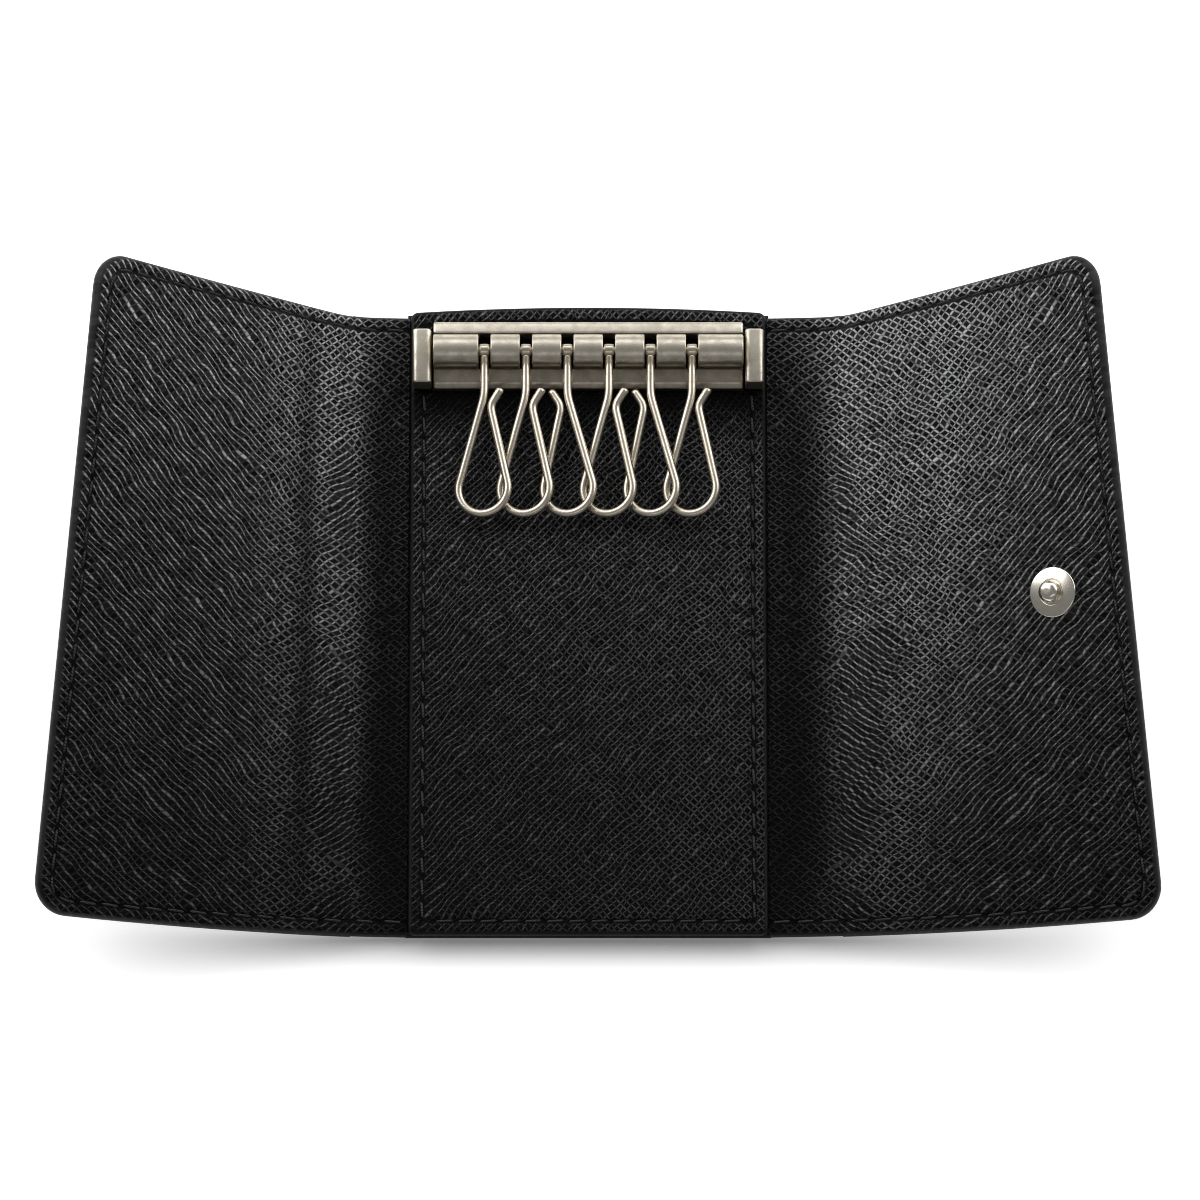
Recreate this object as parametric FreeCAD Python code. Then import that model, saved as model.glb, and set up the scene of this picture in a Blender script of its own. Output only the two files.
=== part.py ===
"""Six-hook leather key case, lying open on its back with both flaps lifted.

Frame: millimetres, +Z up out of the open case, +Y towards the key plate, origin at the
middle of the underside of the back panel.
"""
import FreeCAD, Part

import math
import os

V = FreeCAD.Vector
X_AXIS = V(1, 0, 0)
Y_AXIS = V(0, 1, 0)
Z_AXIS = V(0, 0, 1)

# Leather body
case_height = 100.0
back_width = 55.2
outer_leather = 1.2
board = 0.6
lining = 0.8
fold_gap = 0.2
corner_radius = 5.0

# Folds: the left flap closes first, and the right one closes over it
left_spine = 8.4
left_flap = 49.8
left_top_angle = 41.2
left_bottom_angle = 16.4
flap_step = 2.6
right_flap = 49.8
right_top_angle = 41.0
right_bottom_angle = 13.2
spine_angle = 4.0
top_curl = 2.0
bottom_curl = 14.0

# Key plate, pressed from one strip with rolled rails and knuckles
plate_margin = 3.5
plate_thickness = 0.8
plate_above_pin = 5.05
plate_below_pin = 5.55
pin_from_top_edge = 6.85
top_rail_width = 2.1
top_rail_height = 3.0
low_rail_width = 3.1
low_rail_height = 2.0
low_rail_lip = 0.9
knuckle_radius = 2.5
knuckle_lift = 0.1
knuckle_neck = 3.0
pin_radius = 0.55
pin_clearance = 0.05

# Key hooks, bent from spring wire
hook_count = 6
hook_pitch = 6.45
hook_slot = 1.87
hook_wire_radius = 0.6
hook_eye_wall = 0.45
hook_eye_width = 1.6
hook_loop_radius = 3.8
hook_loop_reach = 22.65
hook_loop_offset = 0.15
hook_shoulder_reach = 7.2
hook_shoulder_radius = 8.0
hook_throat_reach = 9.0
hook_throat_offset = 0.95
hook_throat_radius = 2.0
hook_tip_reach = 6.3
hook_tip_offset = 2.7
hook_roll = 14.0
hook_droop = 2.5
mirrored_hooks = (3, 5)

# End clips over the riveted tongues of the plate
clip_width = 2.9
clip_length = 8.8
clip_drop = 0.9
clip_height = 3.9
clip_wall = 0.5
clip_round = 0.8
clip_gap = 0.3
tongue_width = 5.0
tongue_clearance = 0.1
rivet_radius = 0.6
rivet_head_radius = 0.9
rivet_head_height = 0.6
rivet_clinch_radius = 1.4
rivet_clinch_height = 0.3
rivet_hole_clearance = 0.05

# Press stud: cap and stud in the right flap, socket and its post in the left one
stud_from_edge = 12.8
stud_flange_radius = 3.9
stud_flange_height = 0.6
stud_post_radius = 1.75
stud_neck_radius = 1.5
stud_post_height = 1.7
stud_neck_share = 0.25
stud_dimple_radius = 0.7
stud_dimple_depth = 0.5
stud_shank_radius = 1.1
cap_radius = 5.0
cap_rim = 0.5
cap_crown = 1.0
cap_shoulder_share = 0.75
cap_shoulder_rise = 0.67
cap_flat_share = 0.375
socket_radius = 3.9
socket_stand = 0.3
socket_bore_clearance = 0.4
socket_floor = 0.3
socket_post_radius = 3.0
socket_post_height = 0.2

# Working values
overrun = 5.0
tangent_step = 0.001
half_height = case_height / 2
half_back = back_width / 2
panel_top = outer_leather + board + lining
spine_top = outer_leather + lining
right_spine = left_spine + flap_step
pin_y = half_height - pin_from_top_edge
clip_y = pin_y - clip_drop
plate_top = panel_top + plate_thickness
pin_z = plate_top + knuckle_radius + knuckle_lift
plate_length = back_width - 2 * plate_margin
plate_ends = plate_length / 2 + clip_gap
clip_outside = plate_ends + clip_width


def box(x0, x1, y0, y1, z0, z1):
    """A box between two corners."""
    return Part.makeBox(x1 - x0, y1 - y0, z1 - z0, V(x0, y0, z0))


def rod(radius, start, end):
    """A round bar between two points."""
    return Part.makeCylinder(radius, start.distanceToPoint(end), start, end - start)


def revolve(points):
    """Turn a closed outline of (radius, height) points about Z."""
    corners = [V(radius, 0, height) for radius, height in points]
    outline = Part.makePolygon(corners + corners[:1])
    return Part.Face(outline).revolve(V(0, 0, 0), Z_AXIS, 360)


class Wing:
    """One side of the case: a soft spine strip, then a boarded flap that twists and curls.

    Offsets count from the inner face of the flap, negative towards the outside.
    """

    def __init__(self, side, spine, flap, top_angle, bottom_angle):
        self.side = side
        self.spine = spine
        self.flap = flap
        self.angles = {half_height: top_angle, -half_height: bottom_angle}
        self.curls = {half_height: top_curl, -half_height: bottom_curl}
        self.fold = V(side * (half_back + fold_gap), 0, spine_top)
        tilt = math.radians(spine_angle)
        self.crease = self.fold + V(side * math.cos(tilt), 0, math.sin(tilt)) * (spine + fold_gap)

    def edge_point(self, end, share, offset):
        """Point on the top or bottom edge of the flap, at a share of its length."""
        curl = math.radians(self.curls[end])
        start = math.radians(self.angles[end]) - curl / 2
        radius = self.flap / curl
        turn = start + curl * share
        along = radius * (math.sin(turn) - math.sin(start)) + offset * -math.sin(turn)
        up = radius * (math.cos(start) - math.cos(turn)) + offset * math.cos(turn)
        return self.crease + V(self.side * along, end, up)

    def point(self, share, height, offset=0):
        """Point on the flap, where height runs from 0 at the bottom edge to 1 at the top."""
        low = self.edge_point(-half_height, share, offset)
        high = self.edge_point(half_height, share, offset)
        return low + (high - low) * height

    def chord(self, share):
        """Straight distance at mid height from the crease to a share of the flap's length."""
        return self.point(share, 1 / 2).distanceToPoint(self.crease)

    def section(self, end, inner, outer):
        """Outline of one flap layer on the top or bottom edge, run on past the flap's outer edge."""
        beyond = 1 + overrun / self.flap
        inside = [self.edge_point(end, share, inner) for share in (0, 1 / 2, beyond)]
        outside = [self.edge_point(end, share, outer) for share in (beyond, 1 / 2, 0)]
        edges = [
            Part.Arc(*inside).toShape(),
            Part.makeLine(inside[-1], outside[0]),
            Part.Arc(*outside).toShape(),
            Part.makeLine(outside[-1], inside[0]),
        ]
        return Part.Wire(edges)

    def corner_trim(self):
        """Upright prism with the plan of the flap, whose two outer corners are rounded."""
        high = self.edge_point(half_height, 1, 0)
        low = self.edge_point(-half_height, 1, 0)
        inner_x = self.fold.x - self.side * overrun
        outline = [V(inner_x, -half_height, 0), V(low.x, -half_height, 0)]
        outline += [V(high.x, half_height, 0), V(inner_x, half_height, 0)]
        edges = rounded_path(outline, {1: corner_radius, 2: corner_radius})
        edges.append(Part.makeLine(outline[-1], outline[0]))
        return Part.Face(Part.Wire(edges)).extrude(Z_AXIS * case_height).translated(V(0, 0, -overrun))

    def flap_layer(self, inner, outer):
        """One layer of the flap between two offsets."""
        ends = [self.section(end, inner, outer) for end in (-half_height, half_height)]
        return Part.makeLoft(ends, True, True).common(self.corner_trim())

    def spine_layer(self, low, high):
        """One layer of the spine strip, lifted about its fold."""
        near = self.fold.x
        far = near + self.side * self.spine
        strip = box(min(near, far), max(near, far), -half_height, half_height, low, high)
        strip.rotate(self.fold, Y_AXIS, -self.side * spine_angle)
        return strip

    def placement(self, share, height):
        """Frame on the inner face of the flap: Z out of the face."""
        here = self.point(share, height)
        along = self.point(share + tangent_step, height) - self.point(share - tangent_step, height)
        up = self.point(share, 1) - self.point(share, 0)
        normal = along.cross(up) * self.side
        turn = FreeCAD.Rotation(along, up, normal, "ZXY")
        return FreeCAD.Placement(here, turn)


def rounded_path(points, radii):
    """Straight runs through the points, with a tangent arc at each point that has a radius."""
    edges = []
    start = points[0]
    for index in range(1, len(points) - 1):
        corner = points[index]
        back = (points[index - 1] - corner).normalize()
        ahead = (points[index + 1] - corner).normalize()
        half_turn = back.getAngle(ahead) / 2
        reach = radii[index] / math.tan(half_turn)
        middle = (back + ahead).normalize() * (radii[index] / math.sin(half_turn) - radii[index])
        arc = Part.Arc(corner + back * reach, corner + middle, corner + ahead * reach)
        edges += [Part.makeLine(start, corner + back * reach), arc.toShape()]
        start = corner + ahead * reach
    edges.append(Part.makeLine(start, points[-1]))
    return edges


def hook_x(number):
    """Place of a hook along the pin, counted from the left."""
    return (number - (hook_count + 1) / 2) * hook_pitch


def key_plate():
    """Strip with a round top rail, a lipped low rail, riveting tongues, and knuckles between windows."""
    low = pin_y - plate_below_pin
    high = pin_y + plate_above_pin
    half = plate_length / 2
    rail_round = top_rail_width / 2
    crown_z = panel_top + top_rail_height - rail_round
    strip = box(-half, half, low, high, panel_top, plate_top)
    top_rail = box(-half, half, high - top_rail_width, high, panel_top, crown_z)
    crown_line = V(-half, high - rail_round, crown_z)
    crown = rod(rail_round, crown_line, crown_line + X_AXIS * plate_length)
    ledge = panel_top + low_rail_height
    lip = [V(-half, low, panel_top), V(-half, low, panel_top + low_rail_lip)]
    lip += [V(-half, low + low_rail_lip, ledge), V(-half, low + low_rail_width, ledge)]
    lip += [V(-half, low + low_rail_width, panel_top)]
    low_rail = Part.Face(Part.makePolygon(lip + lip[:1])).extrude(X_AXIS * plate_length)
    solids = [top_rail, crown, low_rail]
    for side in (-1, 1):
        inner = side * half
        outer = side * (clip_outside - clip_wall - tongue_clearance)
        reach = tongue_width / 2
        ends = sorted((inner, outer))
        solids.append(box(*ends, pin_y - reach, pin_y + reach, panel_top, plate_top))
    for start, end in knuckle_spans():
        neck = knuckle_neck / 2
        solids.append(rod(knuckle_radius, V(start, pin_y, pin_z), V(end, pin_y, pin_z)))
        solids.append(box(start, end, pin_y - neck, pin_y + neck, plate_top, pin_z))
    bore = rod(pin_radius + pin_clearance, V(-half - overrun, pin_y, pin_z), V(half + overrun, pin_y, pin_z))
    windows = [slot_window(number) for number in range(1, hook_count + 1)]
    holes = [rivet_hole(side) for side in (-1, 1)]
    plate = strip.fuse(solids).cut([bore] + windows + holes)
    return plate.removeSplitter()


def slot_window(number):
    """Cutter for the opening under a hook's slot, which the strip leaves from rail to rail."""
    low = pin_y - plate_below_pin + low_rail_width
    high = pin_y + plate_above_pin - top_rail_width
    left = hook_x(number) - hook_slot / 2
    return box(left, left + hook_slot, low, high, panel_top, plate_top)


def knuckle_spans():
    """Start and end of each knuckle along the pin: what the hook slots leave."""
    half = plate_length / 2
    spans = []
    start = -half
    for number in range(1, hook_count + 1):
        spans.append((start, hook_x(number) - hook_slot / 2))
        start = hook_x(number) + hook_slot / 2
    return spans + [(start, half)]


def rivet_place(side):
    """Middle of a rivet, under the clip, at the top of the outer leather."""
    return V(side * (plate_ends + clip_width / 2), pin_y, outer_leather)


def rivet_hole(side):
    """Cutter for a rivet shank through the lining, the board and the plate."""
    place = rivet_place(side)
    return rod(rivet_radius + rivet_hole_clearance, place, place + Z_AXIS * overrun)


def plate_rivets():
    """Two tubular rivets, clinched in the board and headed on the plate's tongues."""
    rivets = []
    for side in (-1, 1):
        foot = rivet_place(side)
        neck = V(foot.x, foot.y, plate_top)
        shank = rod(rivet_radius, foot, neck)
        clinch = rod(rivet_clinch_radius, foot, foot + Z_AXIS * rivet_clinch_height)
        head = rod(rivet_head_radius, neck, neck + Z_AXIS * rivet_head_height)
        rivets.append(shank.fuse([clinch, head]).removeSplitter())
    return Part.makeCompound(rivets)


def end_clip(side):
    """Pressed cover over one tongue: rounded long edges, open below and towards the plate."""
    inner = side * plate_ends
    outer = side * clip_outside
    left, right = min(inner, outer), max(inner, outer)
    half = clip_length / 2
    top = panel_top + clip_height
    shell = box(left, right, clip_y - half, clip_y + half, panel_top, top)
    long_edges = [edge for edge in shell.Edges if is_top_long_edge(edge, top)]
    shell = shell.makeFillet(clip_round, long_edges)
    room = half - clip_wall
    ceiling = top - clip_wall - clip_round / 2
    hollow = box(left + clip_wall, right - clip_wall, clip_y - room, clip_y + room, panel_top, ceiling)
    reach = tongue_width / 2 + tongue_clearance
    mouth_low = min(inner - side * overrun, outer - side * clip_wall)
    mouth_high = max(inner - side * overrun, outer - side * clip_wall)
    mouth = box(mouth_low, mouth_high, pin_y - reach, pin_y + reach, panel_top, plate_top + tongue_clearance)
    return shell.cut([hollow, mouth])


def is_top_long_edge(edge, top):
    """True for the two upper edges that run the length of a clip."""
    ends = [vertex.Point for vertex in edge.Vertexes]
    on_top = all(math.isclose(point.z, top) for point in ends)
    return on_top and not math.isclose(ends[0].y, ends[1].y)


def back_layer(low, high):
    """One flat layer of the back panel."""
    return box(-half_back, half_back, -half_height, half_height, low, high)


def back_board():
    """Stiffener of the back, opened round the rivets' clinched ends."""
    layer = back_layer(outer_leather, outer_leather + board)
    radius = rivet_clinch_radius + rivet_hole_clearance
    feet = [rivet_place(side) for side in (-1, 1)]
    return layer.cut([rod(radius, foot, foot + Z_AXIS * board) for foot in feet])


def back_lining():
    """Leather face of the back inside, pierced for the rivets."""
    layer = back_layer(outer_leather + board, panel_top)
    return layer.cut([rivet_hole(side) for side in (-1, 1)])


def tangent_point(point, centre, radius, hand):
    """Where a line from a point touches a circle, on the side that hand names."""
    away = point - centre
    lean = math.acos(radius / away.Length) * hand
    turned = FreeCAD.Rotation(Z_AXIS, math.degrees(lean)).multVec(away)
    return centre + turned.normalize() * radius


def hook_path():
    """Centre line of a hook, flat, from the eye down round the loop and back to its tip."""
    start = V(0, -(pin_radius + pin_clearance + hook_eye_wall / 2), 0)
    shoulder = V(0, -hook_shoulder_reach, 0)
    centre = V(-hook_loop_offset, -hook_loop_reach, 0)
    throat = V(hook_throat_offset, -hook_throat_reach, 0)
    tip = V(hook_tip_offset, -hook_tip_reach, 0)
    left = tangent_point(shoulder, centre, hook_loop_radius, 1)
    right = tangent_point(throat, centre, hook_loop_radius, -1)
    bottom = centre - Y_AXIS * hook_loop_radius
    down = rounded_path([start, shoulder, left], {1: hook_shoulder_radius})
    loop = Part.Arc(left, bottom, right).toShape()
    back = rounded_path([right, throat, tip], {1: hook_throat_radius})
    return Part.Wire(down + [loop] + back), start


def key_hook(number):
    """Spring wire hook with its eye round the pin; the loop leans to lie over the next one."""
    path, start = hook_path()
    section = Part.Wire(Part.makeCircle(hook_wire_radius, start, Y_AXIS))
    wire = path.makePipeShell([section], True, False)
    if number in mirrored_hooks:
        wire = wire.mirror(V(0, 0, 0), X_AXIS)
    wire.rotate(V(0, 0, 0), Y_AXIS, -hook_roll)
    bore = pin_radius + pin_clearance
    half = hook_eye_width / 2
    eye = rod(bore + hook_eye_wall, V(-half, 0, 0), V(half, 0, 0))
    hook = eye.fuse(wire).cut(rod(bore, V(-overrun, 0, 0), V(overrun, 0, 0)))
    hook.rotate(V(0, 0, 0), X_AXIS, hook_droop)
    hook.translate(V(hook_x(number), pin_y, pin_z))
    return hook


def stud_share(right):
    """Place of the stud, as a share of the right flap's length."""
    return (right.flap - stud_from_edge) / right.flap


def socket_share(left, right):
    """Place of the socket on the left flap, where the stud comes down when both are closed."""
    between_creases = right.fold.x - left.fold.x
    return (between_creases - right.chord(stud_share(right))) / left.chord(1)


def socket_height(stud_frame):
    """Height of the socket on the left flap: the stud leans with its twisted flap."""
    lean = stud_frame.Rotation.multVec(Z_AXIS).y
    stack = panel_top + stud_flange_height + socket_stand
    return 1 / 2 + lean * stack / case_height


def snap_stud():
    """Flange and post on the inner face of the right flap, with a dimpled head."""
    neck = stud_flange_height + stud_post_height * stud_neck_share
    head = stud_flange_height + stud_post_height
    outline = [(0, 0), (stud_flange_radius, 0), (stud_flange_radius, stud_flange_height / 2)]
    outline += [(stud_flange_radius - stud_flange_height / 2, stud_flange_height)]
    outline += [(stud_neck_radius, stud_flange_height), (stud_neck_radius, neck), (stud_post_radius, neck)]
    outline += [(stud_post_radius, head - stud_dimple_depth), (stud_neck_radius, head)]
    outline += [(stud_dimple_radius, head), (0, head - stud_dimple_depth)]
    return revolve(outline)


def snap_cap():
    """Domed cap on the outer face, with the shank that is riveted into the stud."""
    thick = panel_top
    arc_rise = cap_rim + cap_crown
    shoulder = cap_rim + cap_crown * cap_shoulder_rise
    outline = [(0, 0), (stud_shank_radius, 0), (stud_shank_radius, -thick), (cap_radius, -thick)]
    outline += [(cap_radius, -thick - cap_rim), (cap_radius * cap_shoulder_share, -thick - shoulder)]
    outline += [(cap_radius * cap_flat_share, -thick - arc_rise), (0, -thick - arc_rise)]
    return revolve(outline)


def snap_socket():
    """Cup let into the outer face of the left flap, which takes the stud's head."""
    low = -panel_top - socket_stand
    bore = stud_post_radius + socket_bore_clearance
    floor = -lining - socket_post_height
    outline = [(0, floor), (socket_radius, floor), (socket_radius, low + socket_stand / 2)]
    outline += [(socket_radius - socket_stand / 2, low), (bore, low), (bore, floor - socket_floor)]
    outline += [(0, floor - socket_floor)]
    return revolve(outline)


def snap_socket_post():
    """Thin head behind the socket, hidden under the lining."""
    floor = -lining - socket_post_height
    outline = [(0, floor), (socket_post_radius, floor), (socket_post_radius, -lining), (0, -lining)]
    return revolve(outline)


def placed(shape, frame):
    """Shape moved to a frame on a flap."""
    shape.Placement = frame.multiply(shape.Placement)
    return shape


def wing_nodes(name, wing):
    """Spine and flap layers of one side."""
    return {
        name + "_spine_outer": wing.spine_layer(0, outer_leather),
        name + "_spine_lining": wing.spine_layer(outer_leather, spine_top),
        name + "_flap_outer": wing.flap_layer(-lining - board, -panel_top),
        name + "_flap_board": wing.flap_layer(-lining, -lining - board),
        name + "_flap_lining": wing.flap_layer(0, -lining),
    }


def build():
    """Every piece of the case, by name."""
    left = Wing(-1, left_spine, left_flap, left_top_angle, left_bottom_angle)
    right = Wing(1, right_spine, right_flap, right_top_angle, right_bottom_angle)
    pin_half = plate_length / 2
    nodes = {
        "back_outer": back_layer(0, outer_leather),
        "back_board": back_board(),
        "back_lining": back_lining(),
        "key_plate": key_plate(),
        "hinge_pin": rod(pin_radius, V(-pin_half, pin_y, pin_z), V(pin_half, pin_y, pin_z)),
        "plate_rivets": plate_rivets(),
        "left_end_clip": end_clip(-1),
        "right_end_clip": end_clip(1),
    }
    nodes.update(wing_nodes("left", left))
    nodes.update(wing_nodes("right", right))

    stud_frame = right.placement(stud_share(right), 1 / 2)
    socket_frame = left.placement(socket_share(left, right), socket_height(stud_frame))
    shank = rod(stud_shank_radius, V(0, 0, -overrun), V(0, 0, overrun))
    seat = rod(socket_radius, V(0, 0, -overrun), V(0, 0, overrun))
    for layer in ("outer", "board", "lining"):
        nodes["right_flap_" + layer] = nodes["right_flap_" + layer].cut(placed(shank.copy(), stud_frame))
    for layer in ("outer", "board"):
        nodes["left_flap_" + layer] = nodes["left_flap_" + layer].cut(placed(seat.copy(), socket_frame))
    nodes["snap_stud"] = placed(snap_stud(), stud_frame)
    nodes["snap_cap"] = placed(snap_cap(), stud_frame)
    nodes["snap_socket"] = placed(snap_socket(), socket_frame)
    nodes["snap_socket_post"] = placed(snap_socket_post(), socket_frame)

    for number in range(1, hook_count + 1):
        nodes["hook_%d" % number] = key_hook(number)
    return nodes


os.makedirs("parts", exist_ok=True)
for node, shape in build().items():
    shape.exportStep("parts/%s.step" % node)
    print(node, len(shape.Solids), round(shape.Volume, 2), shape.isValid())
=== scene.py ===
"""Looks of a six-hook leather key case, lying open on its back with both flaps lifted.

Metres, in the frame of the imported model: +Z out of the open case, +Y towards the key plate.
"""

import math

import bmesh
import bpy
import numpy as np
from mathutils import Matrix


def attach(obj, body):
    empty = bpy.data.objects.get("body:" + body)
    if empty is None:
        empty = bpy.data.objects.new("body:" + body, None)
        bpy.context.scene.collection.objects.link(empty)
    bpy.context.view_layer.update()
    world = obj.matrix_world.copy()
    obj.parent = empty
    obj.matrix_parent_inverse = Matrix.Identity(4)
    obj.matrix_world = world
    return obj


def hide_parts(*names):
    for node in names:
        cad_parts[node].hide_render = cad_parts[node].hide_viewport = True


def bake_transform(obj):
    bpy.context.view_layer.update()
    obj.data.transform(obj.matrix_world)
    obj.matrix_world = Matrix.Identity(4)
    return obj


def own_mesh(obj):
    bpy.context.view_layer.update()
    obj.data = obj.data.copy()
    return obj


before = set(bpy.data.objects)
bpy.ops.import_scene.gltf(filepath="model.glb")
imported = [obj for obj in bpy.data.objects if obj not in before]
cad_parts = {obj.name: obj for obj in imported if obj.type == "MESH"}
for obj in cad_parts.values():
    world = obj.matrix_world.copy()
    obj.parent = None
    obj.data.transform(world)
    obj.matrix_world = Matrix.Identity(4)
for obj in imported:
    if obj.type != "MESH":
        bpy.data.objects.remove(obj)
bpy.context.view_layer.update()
mm = 0.001

# Studio table
# A plain white table top under large soft lamps. The case lies on it, so its top is at height 0, and it
# fills the picture. It glows and so hides the case's shadows, but the glow is dimmed in a patch in front of
# the case: a painted shadow there.
table_half = 1.6
table_white = 0.93
table_rough = 0.9
table_gloss = 0.1
table_glow = 0.6
# How deep the painted shadow in front of the case dims the glow, and where it lies, in metres.
painted_shadow_depth = 0.56
painted_shadow_sides = (88 * mm, 18 * mm)
painted_shadow_start = (-47.5 * mm, -50.5 * mm)
painted_shadow_end = (-57.5 * mm, -51.5 * mm)
room_light = 0.2
scene = bpy.context.scene
scene.view_settings.view_transform = "Standard"


def new_material(name):
    """A node material with a Principled shader; returns the material, its nodes, links and shader."""
    material = bpy.data.materials.new(name)
    material.use_nodes = True
    nodes = material.node_tree.nodes
    return material, nodes, material.node_tree.links, nodes["Principled BSDF"]


def grid_faces(rows, columns, closed_rows=False, closed_columns=False):
    """Quads of a grid of points numbered row by row; a closed direction joins its last to its first."""
    last_row = rows if closed_rows else rows - 1
    last_column = columns if closed_columns else columns - 1
    row, column = np.meshgrid(np.arange(last_row), np.arange(last_column), indexing="ij")
    next_row = (row + 1) % rows
    next_column = (column + 1) % columns
    corners = [row * columns + column, row * columns + next_column]
    corners += [next_row * columns + next_column, next_row * columns + column]
    return np.stack([corner.ravel() for corner in corners], axis=1)


def new_piece(name, points, faces, material):
    """A smooth-shaded mesh object at the origin, from points in metres and lists of corners."""
    mesh = bpy.data.meshes.new(name)
    corners = [list(map(int, face)) for face in faces]
    mesh.from_pydata(np.asarray(points).reshape(-1, 3).tolist(), [], corners)
    mesh.update()
    mesh.shade_smooth()
    mesh.materials.append(material)
    piece = bpy.data.objects.new(name, mesh)
    scene.collection.objects.link(piece)
    return piece


def math_step(tree, operation, *values):
    """One Math node; each value is a number or a socket."""
    node = tree.nodes.new("ShaderNodeMath")
    node.operation = operation
    for socket, value in zip(node.inputs, values):
        if isinstance(value, (int, float)):
            socket.default_value = value
        else:
            tree.links.new(value, socket)
    return node.outputs[0]


def product(tree, first, second):
    """Product of two values, at least one of them a socket."""
    return math_step(tree, "MULTIPLY", first, second)


def scaled(tree, value, factor, start):
    """A value times a factor, plus a start."""
    return math_step(tree, "MULTIPLY_ADD", value, factor, start)


def soft_step(tree, value, low, high):
    """Smooth rise from 0 at low to 1 at high."""
    node = tree.nodes.new("ShaderNodeMapRange")
    node.interpolation_type = "SMOOTHSTEP"
    tree.links.new(value, node.inputs["Value"])
    node.inputs["From Min"].default_value = low
    node.inputs["From Max"].default_value = high
    return node.outputs["Result"]


def table_top_paint():
    """Matt white paint that glows where the camera or a mirror sees it, less in a painted shadow.

    The painted shadow is a fixed patch, the product of three soft steps: in from both sides, from under
    the lower edge, and to its end in front of it.
    """
    material, nodes, links, shader = new_material("table_paint")
    tree = material.node_tree
    shader.inputs["Base Color"].default_value = (table_white, table_white, table_white, 1)
    shader.inputs["Roughness"].default_value = table_rough
    shader.inputs["Specular IOR Level"].default_value = table_gloss
    shader.inputs["Emission Color"].default_value = (1, 1, 1, 1)
    rays = nodes.new("ShaderNodeLightPath").outputs
    seen = math_step(tree, "MAXIMUM", rays["Is Camera Ray"], rays["Is Glossy Ray"])
    place = nodes.new("ShaderNodeSeparateXYZ")
    links.new(nodes.new("ShaderNodeTexCoord").outputs["Object"], place.inputs[0])
    between = soft_step(tree, math_step(tree, "ABSOLUTE", place.outputs["X"]), *painted_shadow_sides)
    in_front = soft_step(tree, place.outputs["Y"], *painted_shadow_start)
    near = soft_step(tree, place.outputs["Y"], *painted_shadow_end)
    # Painted shadow: the glow is dimmed over this fixed patch in front of the case.
    painted_shadow = product(tree, between, product(tree, in_front, near))
    glow = scaled(tree, painted_shadow, -painted_shadow_depth, table_glow)
    links.new(product(tree, seen, glow), shader.inputs["Emission Strength"])
    return material


table_corners = [(-table_half, -table_half, 0), (table_half, -table_half, 0)]
table_corners += [(table_half, table_half, 0), (-table_half, table_half, 0)]
table = new_piece("table_top", table_corners, [(0, 1, 2, 3)], table_top_paint())


def soft_lamp(name, place, size, power):
    """An oblong lamp at a place, turned to face the origin; place and size in metres, power in watts."""
    lamp = bpy.data.lights.new(name, "AREA")
    lamp.shape = "RECTANGLE"
    lamp.size, lamp.size_y = size
    lamp.energy = power
    holder = bpy.data.objects.new(name, lamp)
    holder.location = place
    across, along, up = place
    pitch = math.atan2(math.hypot(across, along), up)
    heading = math.atan2(-along, -across) - math.pi / 2
    holder.rotation_euler = (pitch, 0, heading)
    scene.collection.objects.link(holder)


soft_lamp("left_lamp", (-0.8, 0.55, 0.6), (0.9, 0.9), 7)
soft_lamp("right_lamp", (0.8, 0.55, 0.6), (0.9, 0.9), 6)
soft_lamp("back_lamp", (0, 0.95, 0.7), (1.4, 0.5), 4)
soft_lamp("front_lamp", (0, -0.75, 0.9), (1.2, 0.2), 0.8)

world = bpy.data.worlds.new("studio_room")
scene.world = world
world.use_nodes = True
room = world.node_tree.nodes["Background"]
room.inputs["Color"].default_value = (1, 1, 1, 1)
room.inputs["Strength"].default_value = room_light

# Camera
# It looks down on the open case from the lower edge, 73 degrees above the table, from far enough
# away that the case shows hardly any perspective. A narrow pixel filter keeps the grain crisp.
camera_elevation = math.radians(73)
camera_distance = 1.7
camera_reach = 10
sensor_width = 36
frame_width = 185.76 * mm
aim_right = 1.83 * mm
aim_up = 4.23 * mm
image_up = np.array([0, math.sin(camera_elevation), math.cos(camera_elevation)])
to_camera = np.array([0, -math.cos(camera_elevation), math.sin(camera_elevation)])
camera_data = bpy.data.cameras.new("camera")
camera_data.sensor_width = sensor_width
camera_data.lens = sensor_width * camera_distance / frame_width
camera_data.clip_end = camera_reach
camera = bpy.data.objects.new("camera", camera_data)
camera.location = np.array([aim_right, 0, 0]) + image_up * aim_up + to_camera * camera_distance
camera.rotation_euler = (math.pi / 2 - camera_elevation, 0, 0)
scene.collection.objects.link(camera)
scene.camera = camera
scene.cycles.filter_width = 1.0

# Back panel
# The outer skin of the back is one flat piece of black cross-grain leather. A stiffened panel of the
# same leather is sewn on inside, with a board under it and a smooth painted edge all round.
case_half = 50 * mm
back_half = 28.1 * mm
skin = 1.2 * mm
panel_stack = 1.4 * mm
panel_half = 27.7 * mm
panel_corner = 1.2 * mm
panel_bulge = 0.9 * mm
panel_overhang = 0.6 * mm
stitch_inset = 2.2 * mm
map_unit = 100 * mm
grain_relief = 0.2 * mm
ridge_pitch = 0.87 * mm
ridge_normal = math.radians(44)
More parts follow.
